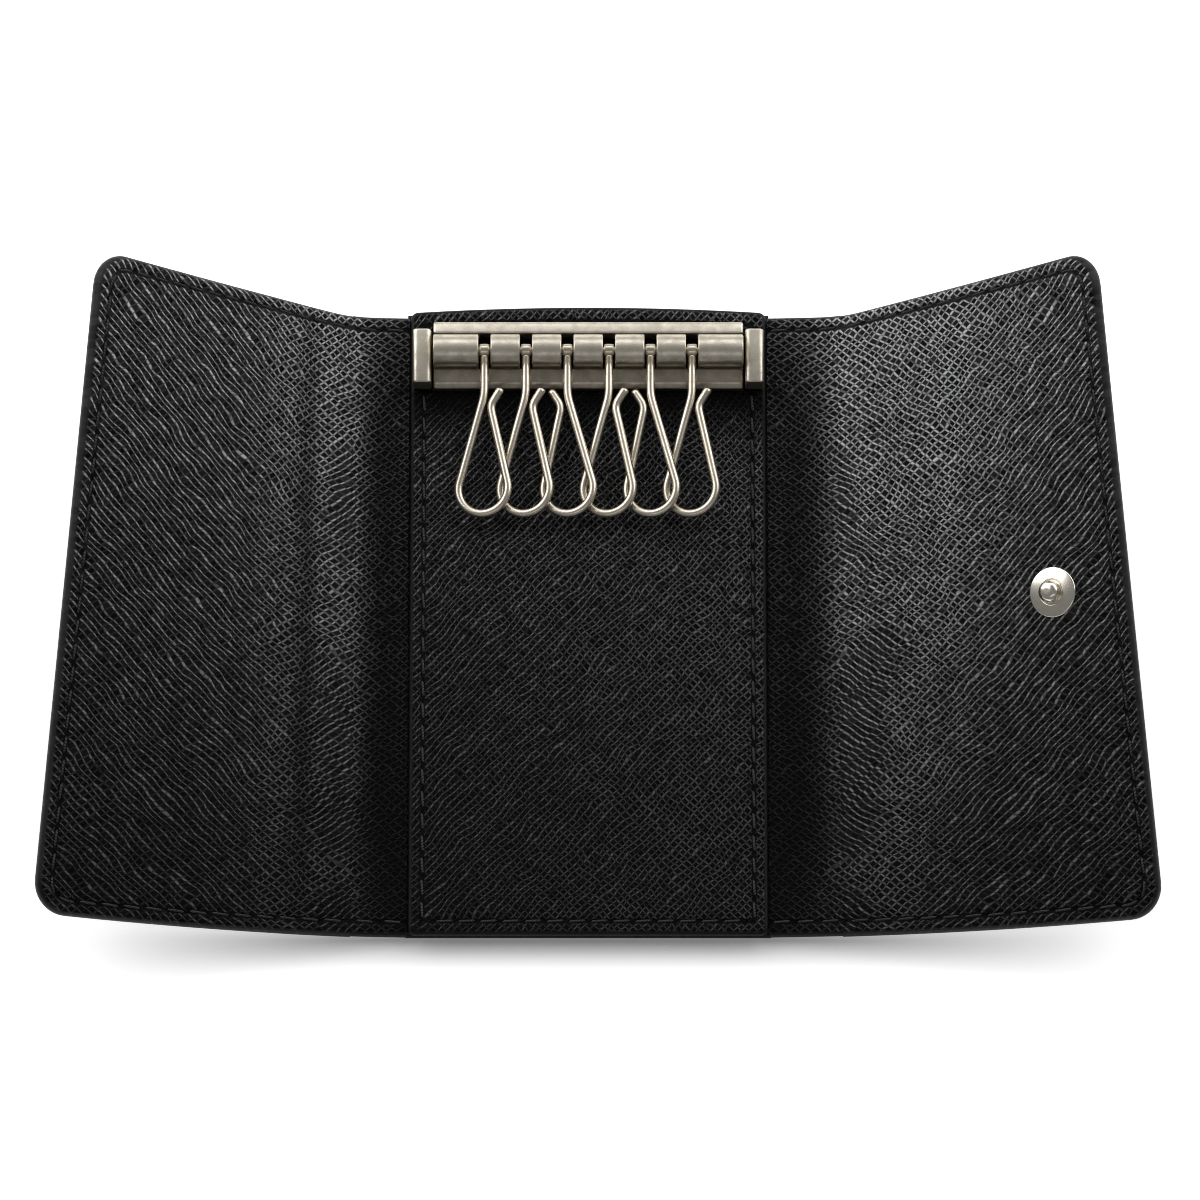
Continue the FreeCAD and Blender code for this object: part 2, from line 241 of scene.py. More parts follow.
# The grain drifts in millimetres and its drift, patches and pores have scales per millimetre. All else
# about its ridges is in pitches, or a share of the strongest ridge.
drift_scale = 0.12
drift_reach = 1.8
patch_scale = 0.08
patch_limits = (0.32, 0.68)
patch_share = 0.5
pore_scale = 6.0
pore_share = 0.25
cell_share = 0.25
main_wander = 1.5
cross_wander = 0.9
wander_across = 0.5
wander_along = 0.2
wander_detail = 2.4
row_jog = 0.3
ridge_foot = 0.21
ridge_crown = 0.04
gleam_across = 3.7
gleam_along = 0.4
gleam_limits = (0.32, 0.62)
gleam_share = 0.6
bead_share = 0.7
dull_share = 0.1
dip_reach = 0.24
dip_share = 0.65
faintest_share = 0.06
# The cells' grey is a painted sheen and the ridges' grey a painted highlight; both stand in for light.
leather_black = (0.001, 0.001, 0.001)
cell_sheen_grey = (0.026, 0.026, 0.0264)
ridge_highlight_grey = (0.58, 0.58, 0.59)
leather_rough = 0.5
leather_gloss = 0.04
edge_gloss = 0.18
ridge_polish = 0.12
# How far in from the rim the edge paint fades out, and how far aside of the seam the painted highlights
# give way to painted shade in its groove, in millimetres.
edge_limits = (0.35, 0.75)
groove_shade_limits = (0.2, 0.55)


def noise(tree, place, scale, detail=2.0, output="Fac"):
    """Noise of a given scale at a place."""
    node = tree.nodes.new("ShaderNodeTexNoise")
    node.inputs["Scale"].default_value = scale
    node.inputs["Detail"].default_value = detail
    tree.links.new(place, node.inputs["Vector"])
    return node.outputs[output]


def vector_step(tree, operation, first, second):
    """One Vector Math node; each value is a triple or a socket. Returns its vector."""
    node = tree.nodes.new("ShaderNodeVectorMath")
    node.operation = operation
    for socket, value in zip(node.inputs, (first, second)):
        if isinstance(value, tuple):
            socket.default_value = value
        else:
            tree.links.new(value, socket)
    return node.outputs["Vector"]


def mixed(tree, share, first, second):
    """Mix of two colours by a share; each colour is a triple or a socket. Returns the mixed colour."""
    node = tree.nodes.new("ShaderNodeMix")
    node.data_type = "RGBA"
    tree.links.new(share, node.inputs[0])
    for socket, value in zip((node.inputs[6], node.inputs[7]), (first, second)):
        if isinstance(value, tuple):
            socket.default_value = (*value, 1)
        else:
            tree.links.new(value, socket)
    return node.outputs[2]


def relief(tree, shader, height, depth):
    """Relief of a given depth on a shader, by a Bump node."""
    bump = tree.nodes.new("ShaderNodeBump")
    bump.inputs["Distance"].default_value = depth
    tree.links.new(height, bump.inputs["Height"])
    tree.links.new(bump.outputs["Normal"], shader.inputs["Normal"])


def new_group(name, inputs, outputs):
    """An empty shader node group with its named sockets; returns the group, its input and output nodes."""
    group = bpy.data.node_groups.new(name, "ShaderNodeTree")
    for socket, kind in inputs.items():
        group.interface.new_socket(socket, in_out="INPUT", socket_type="NodeSocket" + kind)
    for socket, kind in outputs.items():
        group.interface.new_socket(socket, in_out="OUTPUT", socket_type="NodeSocket" + kind)
    return group, group.nodes.new("NodeGroupInput"), group.nodes.new("NodeGroupOutput")


def pair(tree, first, second):
    """Two values as the first two parts of a vector."""
    node = tree.nodes.new("ShaderNodeCombineXYZ")
    tree.links.new(first, node.inputs["X"])
    tree.links.new(second, node.inputs["Y"])
    return node.outputs[0]


def white_noise(tree, first, second):
    """A random value from 0 to 1 for each pair of whole values."""
    node = tree.nodes.new("ShaderNodeTexWhiteNoise")
    tree.links.new(pair(tree, first, second), node.inputs["Vector"])
    return node.outputs["Value"]


def wandering(tree, slant, other, reach):
    """Distance across a family of ridges in pitches, which wanders by up to half its reach."""
    course = pair(tree, product(tree, slant, wander_across), product(tree, other, wander_along))
    wander = math_step(tree, "SUBTRACT", noise(tree, course, 1.0, wander_detail), 0.5)
    return scaled(tree, wander, reach, slant)


def ridge_family(tree, line, other, share):
    """One family of ridges, from 0 to 1, each where its line is a whole number.

    A ridge's strength is a slow gleam along it plus a random bead between each two crossings. It dips
    where it meets the other family, and is cut to a share.
    """
    nearest = math_step(tree, "ROUND", line)
    course = pair(tree, product(tree, nearest, gleam_across), product(tree, other, gleam_along))
    gleam = soft_step(tree, noise(tree, course, 1.0, 1.0), *gleam_limits)
    bead = white_noise(tree, nearest, math_step(tree, "FLOOR", other))
    strength = scaled(tree, gleam, gleam_share, scaled(tree, bead, bead_share, dull_share))
    off_crossing = soft_step(tree, math_step(tree, "PINGPONG", other, 0.5), 0.0, dip_reach)
    strength = product(tree, strength, scaled(tree, off_crossing, dip_share, 1 - dip_share))
    strength = product(tree, strength, math_step(tree, "MINIMUM", share, 1.0))
    profile = soft_step(tree, math_step(tree, "PINGPONG", line, 0.5), ridge_foot, ridge_crown)
    return product(tree, profile, math_step(tree, "MAXIMUM", strength, faintest_share))


def cross_grain():
    """Pressed cross grain: thin ridges on the slant, crossed by weaker ones, round flat dark cells.

    Place is the leather's own flat map in millimetres. Along each slant a ridge stands where the
    distance is a whole number of pitches. The ridges wander, run together and part again, and dip where
    they meet. With Cross at 0 only the main ridges stand, at 1 only the cross ones, and patches vary it.
    """
    group, given, result = new_group(
        "cross_grain",
        {"Place": "Vector", "Pitch": "Float", "Cross": "Float"},
        {"Height": "Float", "Ridge": "Float", "Cell": "Float"},
    )
    place = given.outputs["Place"]
    drift = vector_step(group, "SUBTRACT", noise(group, place, drift_scale, 1.0, "Color"), (0.5, 0.5, 0.5))
    drift = vector_step(group, "MULTIPLY", drift, (drift_reach, drift_reach, 0))
    bent = group.nodes.new("ShaderNodeSeparateXYZ")
    group.links.new(vector_step(group, "ADD", place, drift), bent.inputs[0])
    slants = []
    for turn in (-1, 1):
        slant = product(group, bent.outputs["X"], math.cos(ridge_normal))
        slant = scaled(group, bent.outputs["Y"], turn * math.sin(ridge_normal), slant)
        slants.append(math_step(group, "DIVIDE", slant, given.outputs["Pitch"]))
    main_line = wandering(group, slants[0], slants[1], main_wander)
    row = math_step(group, "FLOOR", main_line)
    cross_line = wandering(group, slants[1], slants[0], cross_wander)
    cross_line = scaled(group, white_noise(group, row, row), row_jog, cross_line)
    patch = soft_step(group, noise(group, place, patch_scale, 1.0), *patch_limits)
    cross = product(group, scaled(group, patch, patch_share, 1 - patch_share / 2), given.outputs["Cross"])
    main_ridge = ridge_family(group, main_line, cross_line, scaled(group, cross, -2.0, 2.0))
    cross_ridge = ridge_family(group, cross_line, main_line, product(group, cross, 2.0))
    ridge = math_step(group, "MAXIMUM", main_ridge, cross_ridge)
    cell = white_noise(group, row, math_step(group, "FLOOR", slants[1]))
    height = scaled(group, cell, cell_share, ridge)
    height = scaled(group, noise(group, place, pore_scale), pore_share, height)
    group.links.new(height, result.inputs["Height"])
    group.links.new(ridge, result.inputs["Ridge"])
    group.links.new(cell, result.inputs["Cell"])
    return group


grain = cross_grain()


def cross_grain_leather(name, hand):
    """Black leather with the pressed grain, painted highlights in grey on its ridges and a painted sheen on
    its cells, and smooth paint along its rim.

    Hand is above 0 where the main ridges lean to the right and below 0 where they lean to the left; the
    smaller it is, the flatter they lie.
    """
    material, nodes, links, shader = new_material(name)
    tree = material.node_tree
    flat_map = nodes.new("ShaderNodeUVMap").outputs["UV"]
    pressed = nodes.new("ShaderNodeGroup")
    pressed.node_tree = grain
    place = vector_step(tree, "MULTIPLY", flat_map, (hand * map_unit / mm, map_unit / mm, 0))
    links.new(place, pressed.inputs["Place"])
    pressed.inputs["Pitch"].default_value = ridge_pitch / mm
    marks = {}
    for mark in ("rim", "painted_light", "cross"):
        node = nodes.new("ShaderNodeAttribute")
        node.attribute_name = mark
        marks[mark] = node.outputs["Fac"]
    links.new(marks["cross"], pressed.inputs["Cross"])
    inside = soft_step(tree, marks["rim"], *edge_limits)
    off_seam = math_step(tree, "ABSOLUTE", math_step(tree, "SUBTRACT", marks["rim"], stitch_inset / mm))
    # Painted shade in the seam's groove: the ridges' painted highlights are left out there.
    clear_of_paint_and_groove_shade = product(tree, inside, soft_step(tree, off_seam, *groove_shade_limits))
    # The ridges' painted highlights and the cells' painted sheen grow with the painted light mark.
    shine = product(tree, product(tree, pressed.outputs["Ridge"], marks["painted_light"]), clear_of_paint_and_groove_shade)
    sheen = product(tree, pressed.outputs["Cell"], marks["painted_light"])
    flat = mixed(tree, sheen, leather_black, cell_sheen_grey)
    links.new(mixed(tree, shine, flat, ridge_highlight_grey), shader.inputs["Base Color"])
    rough = scaled(tree, pressed.outputs["Ridge"], -ridge_polish, leather_rough)
    links.new(rough, shader.inputs["Roughness"])
    gloss = scaled(tree, inside, leather_gloss - edge_gloss, edge_gloss)
    links.new(gloss, shader.inputs["Specular IOR Level"])
    relief(tree, shader, product(tree, pressed.outputs["Height"], inside), grain_relief)
    return material


close_places = np.array([0, 0.06, 0.18, 0.36, 0.6, 0.9, 1.3, 1.7, 2.0, 2.25, 2.5, 2.75, 3.1, 3.6, 4.2]) * mm
wide_step = 1.1 * mm
rim_round = 1.0 * mm
groove_depth = 0.32 * mm
groove_half = 0.42 * mm
painted_light_power = 1.5
corner_cross = 0.14


def spaced(length, near_start, near_end):
    """Places along a length: close together within about 4 mm of an edge that is marked, wider elsewhere."""
    start = close_places if near_start else np.array([0.0])
    end = length - close_places[::-1] if near_end else np.array([length])
    count = max(2, int((end[0] - start[-1]) / wide_step))
    between = np.linspace(start[-1], end[0], count + 1)[1:-1]
    return np.concatenate([start, between, end])


def edge_distance(along, height, width, half, corner, near_start, near_end):
    """Distance in from the nearest finished edge of a round-cornered rectangle.

    With q the overshoot past the inner rectangle of the corner centres, the distance is
    corner - |max(q, 0)| - min(max(q), 0); a side that isn't finished has no overshoot.
    """
    past_end = along - (width - corner) if near_end else np.full_like(along, -1.0)
    past_start = corner - along if near_start else np.full_like(along, -1.0)
    past_side = np.maximum(past_end, past_start)
    past_height = np.abs(height) - (half - corner)
    outside = np.hypot(np.maximum(past_side, 0), np.maximum(past_height, 0))
    inside = np.minimum(np.maximum(past_side, past_height), 0)
    return corner - outside - inside


def sharpen(piece, marked):
    """Make the edges between marked points hard, so that a cut side doesn't shade into the face."""
    mesh = piece.data
    ends = np.zeros(2 * len(mesh.edges), np.int32)
    mesh.edges.foreach_get("vertices", ends)
    hard = mesh.attributes.new("sharp_edge", "BOOLEAN", "EDGE")
    hard.data.foreach_set("value", marked[ends].reshape(-1, 2).all(axis=1))


def set_mark(piece, name, values):
    """Keep one value for each point of a piece, for its material to read."""
    mark = piece.data.attributes.new(name, "FLOAT", "POINT")
    mark.data.foreach_set("value", values.ravel().astype(np.float32))


def finish_sheet(piece, roundness, thickness, map_along, map_height):
    """Give a sheet its thickness by vertex weight, and its flat map."""
    mesh = piece.data
    weights = piece.vertex_groups.new(name="body")
    levels = np.round(roundness.ravel(), 3)
    for level in np.unique(levels):
        weights.add(np.flatnonzero(levels == level).tolist(), float(level), "REPLACE")
    corners = np.zeros(len(mesh.loops), np.int32)
    mesh.loops.foreach_get("vertex_index", corners)
    flat = np.stack([map_along.ravel(), map_height.ravel()], axis=1) / map_unit
    flat_map = mesh.uv_layers.new(name="UVMap")
    flat_map.data.foreach_set("uv", flat[corners].astype(np.float32).ravel())
    wall = piece.modifiers.new("thickness", "SOLIDIFY")
    wall.thickness = thickness
    wall.offset = 0
    wall.vertex_group = "body"


def leather_sheet(
    name, place, width, thickness, corner, finished, map_start, map_side, material, painted_light, cross, wear_and_painted_light,
    sewn=True,
):
    """A sheet of leather on its middle surface, thickened by a Solidify modifier.

    The grid runs along the width and up the height; near a round corner each row is drawn in by
    corner - sqrt(corner^2 - (corner - d)^2), d being the row's distance from the edge. The thickness
    at a distance d in from a finished edge is that of a half-round rim, and it dips along the seam.
    The painted light sets how grey the ridges' painted highlights are and how bright the cells' painted
    sheen is, standing in for how the light falls. It grows from its first value at the bottom to its second
    at the top as the 1.5th power of the way up, times a share that goes from its third value to its fourth
    as the square of the way across, times what the given function gives for the place, such as painted
    shade below the key plate and painted light and shade on folds. Cross is the share of the cross ridges.
    It goes from its first value to its second as 1 - exp(-(share / span)^2), and grows towards the outer
    lower corner. The span is its third value, larger by the fourth at the top and smaller by it at the
    bottom.
    """
    near_start, near_end = finished
    along = spaced(width, near_start, near_end)
    height = spaced(2 * case_half, True, True) - case_half
    share, rows = np.meshgrid(along / width, height)
    reach = np.clip(corner - (case_half - np.abs(rows)), 0, corner)
    drawn_in = corner - np.sqrt(np.maximum(corner**2 - reach**2, 0))
    low = drawn_in if near_start else np.zeros_like(rows)
    high = width - (drawn_in if near_end else np.zeros_like(rows))
    across = low + (high - low) * share
    depth = edge_distance(across, rows, width, case_half, corner, near_start, near_end)
    piece = new_piece(name, place(across, rows), grid_faces(len(height), len(along)), material)
    rim_radius = min(rim_round, thickness / 2)
    roundness = np.sqrt(1 - (1 - np.clip(depth / rim_radius, 0.004, 1)) ** 2)
    if sewn:
        roundness -= groove_depth / thickness * np.exp(-(((depth - stitch_inset) / groove_half) ** 2))
    cut_sides = ((not near_start) * (share < 1e-6)) + ((not near_end) * (share > 1 - 1e-6))
    sharpen(piece, cut_sides.ravel() > 0)
    finish_sheet(piece, roundness, thickness, map_start + map_side * across, rows)
    set_mark(piece, "rim", depth / mm)
    # Painted light: brighter towards the top and across, standing in for how the lamps fall on the sheet.
    up = (rows / case_half + 1) / 2
    bottom, top, inner, outer = painted_light
    risen = bottom + (top - bottom) * up**painted_light_power
    set_mark(piece, "painted_light", risen * (inner + (outer - inner) * share**2) * wear_and_painted_light(across, rows))
    near, far, span, lean = cross
    nearness = np.exp(-((share / (span + lean * (2 * up - 1))) ** 2))
    set_mark(piece, "cross", far + (near - far) * nearness + corner_cross * (1 - up) ** 2 * share)
    return piece


def flat_sheet(middle, start):
    """Place on a flat sheet at a height; its top edge stands out in a bow.

    The bow is the overhang plus the bulge times 1 - (across / half width)^2, and grows as the cube of
    the height above the middle.
    """

    def place(along, height):
        across = start + along
        bow = panel_overhang + panel_bulge * (1 - (across / start) ** 2)
        bow = bow * np.maximum(height / case_half, 0) ** 3
        return np.stack([across, height + bow, np.full_like(across, middle)], axis=-1)

    return place


def evenly(along, height):
    """No change to the painted light anywhere."""
    return np.ones_like(height)


# Where the painted shadow below the key plate starts and ends, in metres, and how deep it is.
plate_shadow_from = (27 * mm, 35 * mm)
plate_shadow_to = (46 * mm, 49 * mm)
plate_shadow_share = 0.93


def painted_shadow_below_plate(along, height):
    """Painted shadow below the key plate and the hooks' stems: the painted light there is nearly taken away.
    """
    shadowed = np.interp(height, plate_shadow_from, (0, 1)) * np.interp(height, plate_shadow_to, (1, 0))
    return 1 - plate_shadow_share * shadowed


# Painted light on each sheet's ridges and cells: bottom, top, and the shares near and far across.
outer_painted_light = (0.3, 0.3, 1, 1)
outer_cross = (0.3, 0.3, 1, 0)
panel_painted_light = (0.1, 0.36, 1, 1)
panel_cross = (0.1, 0.38, 0.9, 0)
back_leather = cross_grain_leather("back_leather", 1)
back_skin = leather_sheet(
    "back_skin", flat_sheet(skin / 2, -back_half), 2 * back_half, skin, panel_corner,
    (False, False), -back_half, 1, back_leather, outer_painted_light, outer_cross, evenly, sewn=False,
)
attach(back_skin, "back")
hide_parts("back_outer")
back_panel = leather_sheet(
    "back_panel", flat_sheet(skin + panel_stack / 2, -panel_half), 2 * panel_half, panel_stack,
    panel_corner, (True, True), -panel_half, 1, back_leather, panel_painted_light, panel_cross, painted_shadow_below_plate,
)
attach(back_panel, "back")
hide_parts("back_lining", "back_board")

# Wings: spines and flaps
# Each wing is a soft spine strip, which takes the thickness of the keys, and a boarded flap. The case
# lies half open: the flaps stand up more at the top than at the bottom, and curl a little towards the keys.
# Outside, a strip of the skin bends over the crease between the two.
spine_thickness = 2.0 * mm
flap_thickness = 2.6 * mm
fold_out = 27.8 * mm
fold_up = 2.0 * mm
fold_reach = 3 * mm
spine_slope = math.radians(4)
flap_width = 49.8 * mm
flap_corner = 5.2 * mm
cut_corner = 1 * mm
crease_ease = 4.5 * mm
crease_before = 3 * mm
crease_width = 4.6 * mm
crease_skin = 0.7 * mm
crease_depths = (1.7 * mm, 2.33 * mm)
crease_bend = (1.2 * mm, 4.2 * mm)
crease_height_share = 0.985
ridge_lean = 0.76
spine_painted_light_share = 0.12
spine_cross = (0.5, 0.62, 0.6, 0)
flap_cross = (0.92, 0.01)
# How much painted light the folds' crests get and how much painted shade their valleys get.
crest_light = 0.3
valley_shade = 3.6
# Top and bottom are a flap's slope and curl in degrees, snap is the press stud's or socket's place as a
# share of the flap's width, and give is how far the shut flap sinks towards the keys. The painted light
# on the ridges and cells is as in leather_sheet, turn is the span and lean of its cross, and a fold is its
# place, height and width in millimetres; the folds also get painted light on their crests and painted
# shade in their valleys.
wings = {
    "left": {
        "side": -1, "spine": 8.6 * mm, "top": (41.2, 2), "bottom": (16.4, 14),
        "snap": 0.4083, "give": 0.8 * mm, "painted_light": (0.19, 1.55, 0.62, 0.62), "turn": (0.22, 0),
        "folds": ((4.4, -0.36, 3.8), (11.4, 0.24, 2.6), (16.8, -0.28, 2.2)),
    },
    "right": {
        "side": 1, "spine": 11.2 * mm, "top": (41.0, 2), "bottom": (13.2, 14),
        "snap": 0.743, "give": 0.0, "painted_light": (0.21, 1.66, 0.8, 0.64), "turn": (0.36, 0.2),
        "folds": ((5.6, -0.38, 5.0), (16.0, 0.3, 3.4)),
    },
}


def wing_section(spine, slope_and_curl):
    """Inner face of a wing in section, as arrays of length along it, reach, rise and slope.

    The slope is the spine's, eases over the crease into the flap's start slope, and grows by the curl
    along the flap; reach and rise are the running sums of its cosine and sine.
    """
    length = np.linspace(0, spine + flap_width, 1200)
    step = length[1]
    flap_slope, curl = np.radians(slope_and_curl)
    start = flap_slope - curl / 2
    share = np.clip((length - spine + crease_ease) / (2 * crease_ease), 0, 1)
    eased = share * share * (3 - 2 * share)
    slope = spine_slope + (start - spine_slope) * eased + curl * np.clip((length - spine) / flap_width, 0, 1)
    middle = (slope[1:] + slope[:-1]) / 2
    reach = np.concatenate([[0], np.cumsum(np.cos(middle)) * step])
    rise = np.concatenate([[0], np.cumsum(np.sin(middle)) * step])
    return length, reach, rise, slope


def folds_of(wing, start=0.0):
    """How far soft folds lift a wing's leather, at a length from a start and a height.

    It is the sum of each fold's height times exp(-(distance / width)^2), and dies out at the sewn edges.
    """

    def lift(along, height):
        length = (start + along) / mm
        folds = sum(tall * np.exp(-(((length - where) / wide) ** 2)) for where, tall, wide in wing["folds"])
        return folds * mm * np.maximum(1 - np.abs(height / case_half) ** 5, 0)

    return lift


def fold_light_and_shade_of(wing, start=0.0):
    """Painted light on the crests of a wing's folds and painted shade in their valleys.

    With the lift in millimetres, it is 1 + the crest factor times the lift on a crest, and exp of the
    valley factor times the lift in a valley.
    """
    lift = folds_of(wing, start)

    def wear_and_painted_light(along, height):
        raised = lift(along, height) / mm
        return np.where(raised > 0, 1 + crest_light * raised, np.exp(valley_shade * raised))

    return wear_and_painted_light


def wing_sheet(wing, offset, start=0.0):
    """Place on a wing at a length from a start and a height, set off from the inner face.

    The top and bottom edges follow their own sections, and straight lines run between them.
    """
    lift = folds_of(wing, start)
    ends = [wing_section(wing["spine"], wing[end]) for end in ("bottom", "top")]

    def place(along, height):
        share = (height / case_half + 1) / 2
        raised = offset + lift(along, height)
        edges = []
        for length, reach, rise, slope in ends:
            turn = np.interp(start + along, length, slope)
            out = np.interp(start + along, length, reach) - raised * np.sin(turn)
            up = np.interp(start + along, length, rise) + raised * np.cos(turn)
            edges.append((out, up))
        out = edges[0][0] + (edges[1][0] - edges[0][0]) * share
        up = edges[0][1] + (edges[1][1] - edges[0][1]) * share
        return np.stack([wing["side"] * (fold_out + out), height, fold_up + up], axis=-1)

    return place


def flatten_with_flap(piece, wing):
    """Give a flap's piece its own copy of its mesh.

    Its inner face at the crease and the snap, and where the lower flap would sink towards the keys when
    shut, are worked out but not used.
    """
    along = np.array([0, wing["snap"]]) * flap_width
    inner = wing_sheet(wing, -flap_thickness / 2, wing["spine"])(along, np.zeros(2))[0]
    held = wing_sheet(wing, wing["give"] - flap_thickness / 2, wing["spine"])(along, np.zeros(2))[1]
    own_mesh(piece)


def crease_sheet(wing, start):
    """Place on the outer skin over a crease, which goes from the spine's outside to the flap's."""
    near, far = crease_depths

    def place(along, height):
        offset = -(near + (far - near) * along / crease_width)
        return wing_sheet(wing, offset, start)(along, crease_height_share * height)

    return place


for name, wing in wings.items():
    side = wing["side"]
    spine = wing["spine"]
    leather = cross_grain_leather(name + "_wing_leather", ridge_lean * side)
    bottom, top, inner = wing["painted_light"][:3]
    on_spine = wing_sheet(wing, -spine_thickness / 2)
    spine_piece = leather_sheet(
        name + "_spine_leather", on_spine, spine, spine_thickness, cut_corner, (False, False),
        side * fold_out, side, leather, (bottom, top, spine_painted_light_share, inner), spine_cross, fold_light_and_shade_of(wing),
    )
    start, end = on_spine(np.array([0, fold_reach]), np.zeros(2))
    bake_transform(spine_piece)
    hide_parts(name + "_spine_outer", name + "_spine_lining")
    flap_piece = leather_sheet(
        name + "_flap_leather", wing_sheet(wing, -flap_thickness / 2, spine), flap_width, flap_thickness,
        flap_corner, (False, True), side * (fold_out + spine), side, leather, wing["painted_light"],
        (*flap_cross, *wing["turn"]), fold_light_and_shade_of(wing, spine),
    )
    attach(flap_piece, name + "_flap")
    flatten_with_flap(flap_piece, wing)
    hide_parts(name + "_flap_outer", name + "_flap_board", name + "_flap_lining")
    crease_start = spine - crease_before
    on_crease = crease_sheet(wing, crease_start)
    crease_piece = leather_sheet(
        name + "_crease_leather", on_crease, crease_width, crease_skin, cut_corner, (False, False),
        side * (fold_out + crease_start), side, leather, outer_painted_light, outer_cross, evenly, sewn=False,
    )
    start, end = on_crease(np.array(crease_bend), np.zeros(2))
    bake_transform(crease_piece)

# Seams
# Black waxed thread, sewn through every layer 2.2 mm inside the edges, one lock stitch every 3.5 mm.
# Each stitch shows on both faces and sinks into a shallow groove at its ends.
stitch_pitch = 3.5 * mm
stitch_half = 1.5 * mm
stitch_slant = 0.35
thread_half = 0.26 * mm
thread_rise = 0.16 * mm
thread_sink = 0.3 * mm
thread_relief = 0.12 * mm
thread_twist = (2.2, 1.6)
thread_black = (0.002, 0.002, 0.002)
thread_grey = (0.014, 0.014, 0.014)
thread_rough = 0.5
crease_clear = 1 * mm
run_gap = 0.05 * mm


def waxed_thread():
    """Black thread whose twist shows as fine slanting ridges along each stitch."""
    material, nodes, links, shader = new_material("waxed_thread")
    tree = material.node_tree
    flat_map = nodes.new("ShaderNodeUVMap").outputs["UV"]
    place = nodes.new("ShaderNodeSeparateXYZ")
    links.new(vector_step(tree, "MULTIPLY", flat_map, (map_unit / mm, map_unit / mm, 0)), place.inputs[0])
    twist = product(tree, place.outputs["X"], thread_twist[0])
    twist = scaled(tree, place.outputs["Y"], thread_twist[1], twist)
    ply = math_step(tree, "PINGPONG", twist, 0.5)
    links.new(mixed(tree, ply, thread_black, thread_grey), shader.inputs["Base Color"])
    shader.inputs["Roughness"].default_value = thread_rough
    relief(tree, shader, ply, thread_relief)
    return material


thread = waxed_thread()


def seam(name, place, runs, thickness):
    """Stitches along runs of a sheet, as patches of its middle surface thickened through the leather.

    A point of a stitch lies at a distance along its run and aside from it. Its thickness is the sheet's
    plus a rise, less a drop that grows with 1 - sqrt(1 - along^4) (1 - 3/4 aside^2), along and aside
    going from -1 to 1.
    """
    along = np.array([-1, -0.62, 0, 0.62, 1])[None, :, None]
    aside = np.array([-1, 0, 1])[None, None, :]
    points = []
    total = 0
    for run in runs:
        steps = np.hypot(*np.diff(run, axis=0).T)
        travelled = np.concatenate([[0], np.cumsum(steps)])
        count = max(1, int(round(travelled[-1] / stitch_pitch)))
        middles = (np.arange(count) + 0.5)[:, None, None] * travelled[-1] / count
        where = middles + along * stitch_half + 0 * aside
        heading = np.gradient(run, travelled, axis=0)
        across, up = (np.interp(where, travelled, run[:, axis]) for axis in (0, 1))
        step_across, step_up = (np.interp(where, travelled, heading[:, axis]) for axis in (0, 1))
        shift = thread_half * (aside + stitch_slant * along)
        points.append(place(across - step_up * shift, up + step_across * shift).reshape(-1, 3))
        total += count
    patch = grid_faces(along.size, aside.size)
    faces = (patch[None] + along.size * aside.size * np.arange(total)[:, None, None]).reshape(-1, 4)
    piece = new_piece(name, np.concatenate(points), faces, thread)
    crown = np.sqrt(np.maximum(1 - along**4, 0)) * (1 - 0.75 * aside**2)
    full = thickness + 2 * thread_rise
    weight = 1 - 2 * (thread_rise + thread_sink) / full * (1 - crown)
    map_along, map_aside = np.broadcast_arrays(along * stitch_half, aside * thread_half)
    each = np.ones((total, 1, 1))
    finish_sheet(piece, weight * each, full, map_along * each, map_aside * each)
    return piece


def arc(centre, radius, start, end):
    """Points on part of a circle, from one angle in degrees to another."""
    turn = np.radians(np.linspace(start, end, 13))
    return np.stack([centre[0] + radius * np.cos(turn), centre[1] + radius * np.sin(turn)], axis=1)


def straight(start, end):
    """Closely spaced points on a straight run."""
    return np.linspace(start, end, 60)


seam_half = case_half - stitch_inset
far_side = 2 * panel_half - stitch_inset
panel_runs = [
    straight((stitch_inset, -seam_half), (stitch_inset, seam_half)),
    straight((far_side, -seam_half), (far_side, seam_half)),
    straight((stitch_inset + stitch_pitch / 2, -seam_half), (far_side - stitch_pitch / 2, -seam_half)),
]
panel_seam = seam("back_seam", flat_sheet(skin + panel_stack / 2, -panel_half), panel_runs, panel_stack)
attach(panel_seam, "back")
side_out = flap_width - flap_corner
side_up = case_half - flap_corner
seam_out = flap_width - stitch_inset
seam_corner = flap_corner - stitch_inset
flap_run = np.concatenate([
    straight((crease_clear, -seam_half), (side_out - run_gap, -seam_half)),
    arc((side_out, -side_up), seam_corner, -90, 0),
    straight((seam_out, run_gap - side_up), (seam_out, side_up - run_gap)),
    arc((side_out, side_up), seam_corner, 0, 90),
    straight((side_out - run_gap, seam_half), (crease_clear, seam_half)),
])
for name, wing in wings.items():
    spine = wing["spine"]
    on_spine = wing_sheet(wing, -spine_thickness / 2)
    spine_runs = [straight((0, height), (spine, height)) for height in (-seam_half, seam_half)]
    spine_seam = seam(name + "_spine_seam", on_spine, spine_runs, spine_thickness)
    start, end = on_spine(np.array([0, fold_reach]), np.zeros(2))
    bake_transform(spine_seam)
    on_flap = wing_sheet(wing, -flap_thickness / 2, spine)
    flap_seam = seam(name + "_flap_seam", on_flap, [flap_run], flap_thickness)
    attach(flap_seam, name + "_flap")
    flatten_with_flap(flap_seam, wing)

